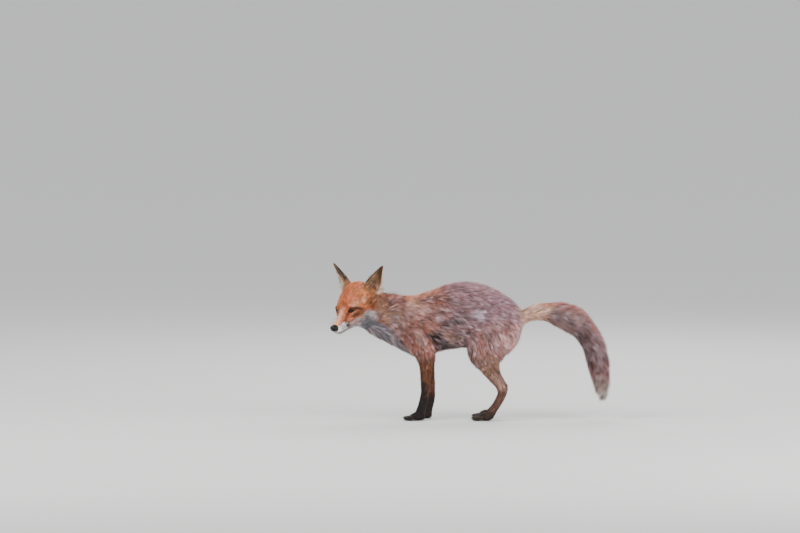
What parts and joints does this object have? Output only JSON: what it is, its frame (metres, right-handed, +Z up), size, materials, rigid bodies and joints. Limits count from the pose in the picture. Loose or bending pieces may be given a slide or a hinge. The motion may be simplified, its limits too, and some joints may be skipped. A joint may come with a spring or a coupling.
{
  "type": "red fox",
  "caption": "Life-size standing red fox with an arched back, head turned and lowered to its left, brush curving down behind; a still display model.",
  "frame": {"origin": "middle of the fox's outline seen from above, at the level the paws stand on", "axes": "+X towards the tail, the nose towards -X; +Y towards the fox's right side; +Z up"},
  "size_m": [0.8356, 0.187, 0.4694],
  "materials": {
    "coat_red": "short rust-red fur",
    "coat_back": "long grizzled grey-brown fur",
    "coat_pale": "soft off-white and grey fur",
    "coat_legs": "short dark rust fur, black to the front",
    "coat_ear": "short fur, black behind and pale inside",
    "nose_skin": "moist pebbled black skin",
    "eye": "polished dark amber eye"
  },
  "bodies": {
    "root": {"head": "coat_red", "lower_jaw": "coat_pale", "nose": "nose_skin", "eye_left": "eye", "eye_right": "eye", "ear_left": "coat_ear", "ear_right": "coat_ear", "neck": "coat_pale", "chest": "coat_red", "loin_and_belly": "coat_back", "rump": "coat_back", "tail_root": "coat_back", "tail_arch": "coat_back", "tail_brush": "coat_back", "tail_tip": "coat_pale", "upper_foreleg_left": "coat_red", "forearm_left": "coat_legs", "forepaw_left": "coat_legs", "thigh_left": "coat_back", "shank_left": "coat_legs", "hind_foot_left": "coat_legs", "hind_paw_left": "coat_legs", "upper_foreleg_right": "coat_red", "forearm_right": "coat_legs", "forepaw_right": "coat_legs", "thigh_right": "coat_back", "shank_right": "coat_legs", "hind_foot_right": "coat_legs", "hind_paw_right": "coat_legs"}
  },
  "joints": []
}
